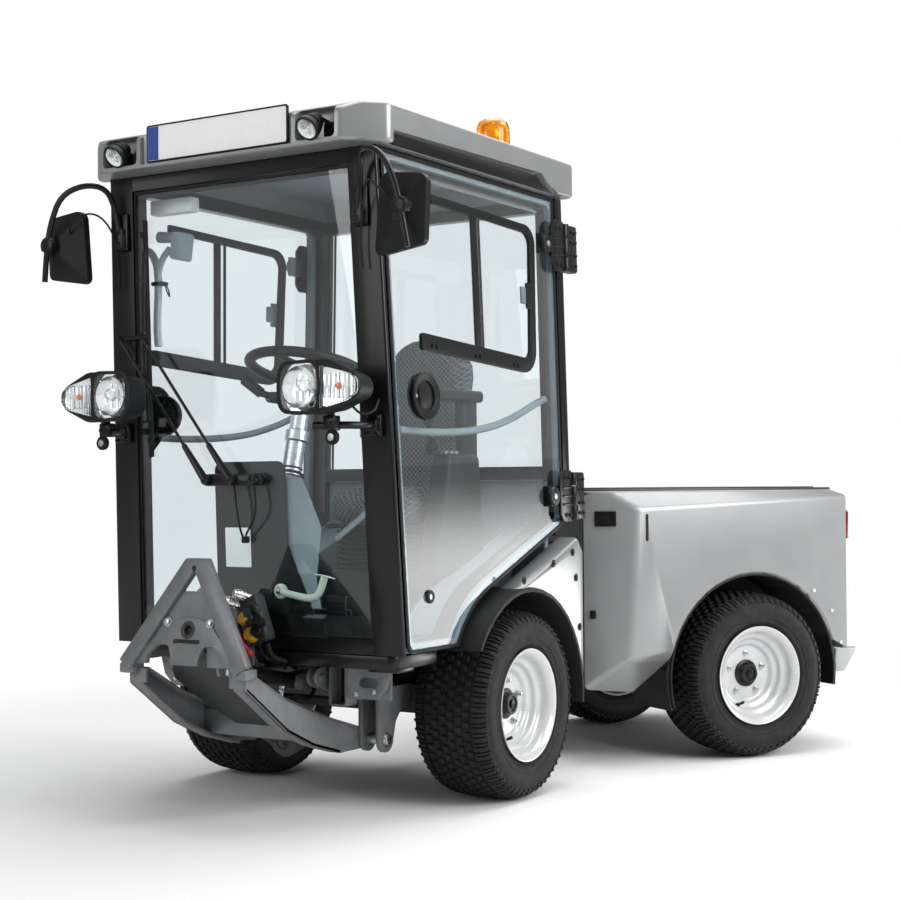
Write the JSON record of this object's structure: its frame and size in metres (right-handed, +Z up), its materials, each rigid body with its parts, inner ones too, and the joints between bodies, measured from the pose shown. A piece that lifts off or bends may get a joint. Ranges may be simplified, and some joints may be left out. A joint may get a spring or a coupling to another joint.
{
  "type": "articulated implement carrier",
  "caption": "Compact articulated municipal implement carrier with a one-person glazed cab, front quick-hitch lift and rear load deck.",
  "frame": {"origin": "centre of the bounding box's base, on the ground", "axes": "+Z up, -Y the way the front half drives, +X its left side; the rear half is parked turned about the steering pivot"},
  "size_m": [1.8044, 3.0096, 2.124],
  "materials": {
    "tyre": "matt black rubber",
    "rim_white": "white enamel",
    "body_silver": "silver grey paint",
    "anthracite": "dark grey paint",
    "frame_black": "black powder coat",
    "steel_grey": "grey paint, worn",
    "chrome_rod": "hard chrome",
    "plastic_black": "grained black plastic",
    "interior_grey": "grey trim",
    "seat_fabric": "dark seat cover",
    "amber": "clear amber lens",
    "plate_white": "blank plate",
    "glass": "clear tinted glass"
  },
  "bodies": {
    "front": {"armrest": "plastic_black", "beacon": "amber", "cab_floor": "plastic_black", "cab_frame": "frame_black", "cab_rear_wall": "interior_grey", "cab_roof": "body_silver", "coupler_block": "frame_black", "fender_left": "plastic_black", "fender_right": "plastic_black", "front_axle": "frame_black", "front_chassis": "frame_black", "headlamp_left": "plastic_black", "headlamp_right": "plastic_black", "linkage_bracket": "steel_grey", "mirror_left": "plastic_black", "mirror_right": "plastic_black", "number_plate": "plate_white", "quarter_panel_left": "body_silver", "quarter_panel_right": "body_silver", "rear_window": "glass", "seat": "seat_fabric", "seat_base": "plastic_black", "steering_console": "interior_grey", "steering_wheel": "plastic_black", "windscreen": "glass", "wiper": "plastic_black"},
    "rear": {"body_front": "anthracite", "body_side_left": "body_silver", "body_side_right": "body_silver", "engine": "frame_black", "load_deck": "anthracite", "rear_axle": "frame_black", "rear_bumper": "steel_grey", "rear_chassis": "frame_black", "tail_panel": "anthracite"},
    "wheel_front_left": {"rim_front_left": "rim_white", "tyre_front_left": "tyre"},
    "wheel_front_right": {"rim_front_right": "rim_white", "tyre_front_right": "tyre"},
    "wheel_rear_left": {"rim_rear_left": "rim_white", "tyre_rear_left": "tyre"},
    "wheel_rear_right": {"rim_rear_right": "rim_white", "tyre_rear_right": "tyre"},
    "door_left": {"door_frame_left": "frame_black", "door_glass_left": "glass", "sliding_window_left": "plastic_black"},
    "door_right": {"door_frame_right": "frame_black", "door_glass_right": "glass", "sliding_window_right": "plastic_black"},
    "lift": {"hitch_frame": "steel_grey", "lift_arms": "steel_grey"},
    "lift_barrel": {"lift_cylinder_barrel": "steel_grey"},
    "lift_rod": {"lift_cylinder_rod": "chrome_rod"},
    "steer_barrel": {"steer_cylinder_barrel": "steel_grey"},
    "steer_rod": {"steer_cylinder_rod": "chrome_rod"}
  },
  "joints": [
    {"name": "articulation", "type": "hinge", "parent": "front", "child": "rear", "pos_m": [-0.20362, 0.14323, 0], "axis": [0, 0, 1], "range_deg": [-10.2, 73.8]},
    {"name": "wheel_front_left_spin", "type": "hinge", "parent": "front", "child": "wheel_front_left", "pos_m": [0.25638, -0.57077, 0.288], "axis": [1, 0, 0], "continuous": true},
    {"name": "wheel_rear_left_spin", "type": "hinge", "parent": "rear", "child": "wheel_rear_left", "pos_m": [0.60047, 0.56715, 0.288], "axis": [0.8499, -0.527, 0], "continuous": true},
    {"name": "wheel_front_right_spin", "type": "hinge", "parent": "front", "child": "wheel_front_right", "pos_m": [-0.66362, -0.57077, 0.288], "axis": [1, 0, 0], "continuous": true},
    {"name": "wheel_rear_right_spin", "type": "hinge", "parent": "rear", "child": "wheel_rear_right", "pos_m": [-0.18144, 1.05195, 0.288], "axis": [0.8499, -0.527, 0], "continuous": true},
    {"name": "door_left_hinge", "type": "hinge", "parent": "front", "child": "door_left", "pos_m": [0.34738, -0.18477, 0.486], "axis": [-0.0272, -0.0008, 0.9996], "range_deg": [0, 85]},
    {"name": "door_right_hinge", "type": "hinge", "parent": "front", "child": "door_right", "pos_m": [-0.75462, -0.18477, 0.486], "axis": [-0.0272, 0.0008, -0.9996], "range_deg": [0, 85]},
    {"name": "front_lift", "type": "hinge", "parent": "front", "child": "lift", "pos_m": [-0.20362, -0.91177, 0.206], "axis": [-1, 0, 0], "range_deg": [-25, 8]},
    {"name": "lift_barrel_hinge", "type": "hinge", "parent": "front", "child": "lift_barrel", "pos_m": [-0.10362, -1.11577, 0.39], "axis": [-1, 0, 0], "range_deg": [-40.4, 13]},
    {"name": "lift_rod_slide", "type": "slide", "parent": "lift_barrel", "child": "lift_rod", "axis": [0, -0.9771, 0.2126], "range_m": [-0.028, 0.085]},
    {"name": "steer_barrel_hinge", "type": "hinge", "parent": "front", "child": "steer_barrel", "pos_m": [0.05838, -0.41077, 0.388], "axis": [0, 0, 1], "range_deg": [-1.1, 6.7]},
    {"name": "steer_rod_slide", "type": "slide", "parent": "steer_barrel", "child": "steer_rod", "axis": [-0.0735, 0.9973, 0], "range_m": [-0.038, 0.266]}
  ],
  "couplings": [
    {"joint": "lift_barrel_hinge", "follows": "front_lift", "ratio": 1.6082},
    {"joint": "lift_rod_slide", "follows": "front_lift", "m_per_rad": -0.1907},
    {"joint": "steer_barrel_hinge", "follows": "articulation", "ratio": 0.0888},
    {"joint": "steer_rod_slide", "follows": "articulation", "m_per_rad": 0.2056}
  ]
}
